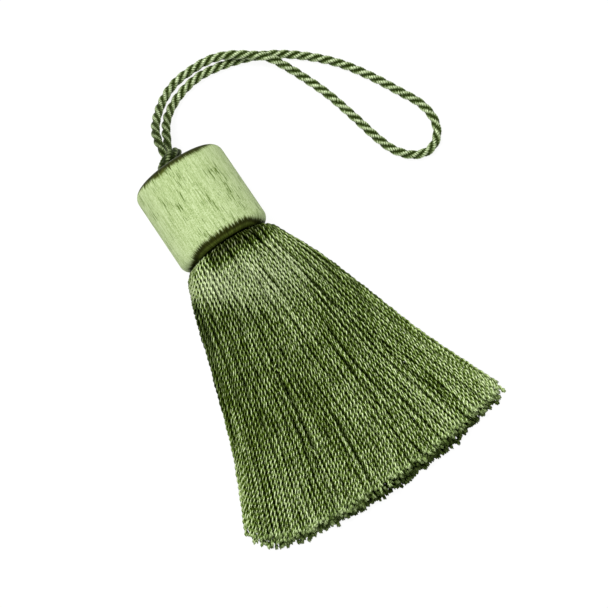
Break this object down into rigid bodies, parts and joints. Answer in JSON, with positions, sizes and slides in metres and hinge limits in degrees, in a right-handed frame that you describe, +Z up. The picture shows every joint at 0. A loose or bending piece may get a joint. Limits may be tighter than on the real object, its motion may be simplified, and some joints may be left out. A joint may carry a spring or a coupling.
{
  "type": "tassel",
  "caption": "Tassel with a floss-covered drum head, a twisted hanging loop with its knot, and a fanned skirt of loose plied yarns, lying on its side.",
  "frame": {"origin": "on the surface it lies on, midway along and across the head and skirt together", "axes": "+Y along the tassel from the skirt's ends towards the hanging loop, +Z up from the surface, +X to the side where the loop lies"},
  "size_m": [0.133, 0.1587, 0.0331],
  "materials": {
    "head_floss": "satin floss laid lengthwise",
    "skirt_yarn": "lustrous plied yarn",
    "loop_cord": "lustrous three-ply twisted cord"
  },
  "bodies": {
    "root": {"head": "head_floss", "skirt": "skirt_yarn", "loop_cord": "loop_cord", "loop_knot": "loop_cord"}
  },
  "joints": []
}
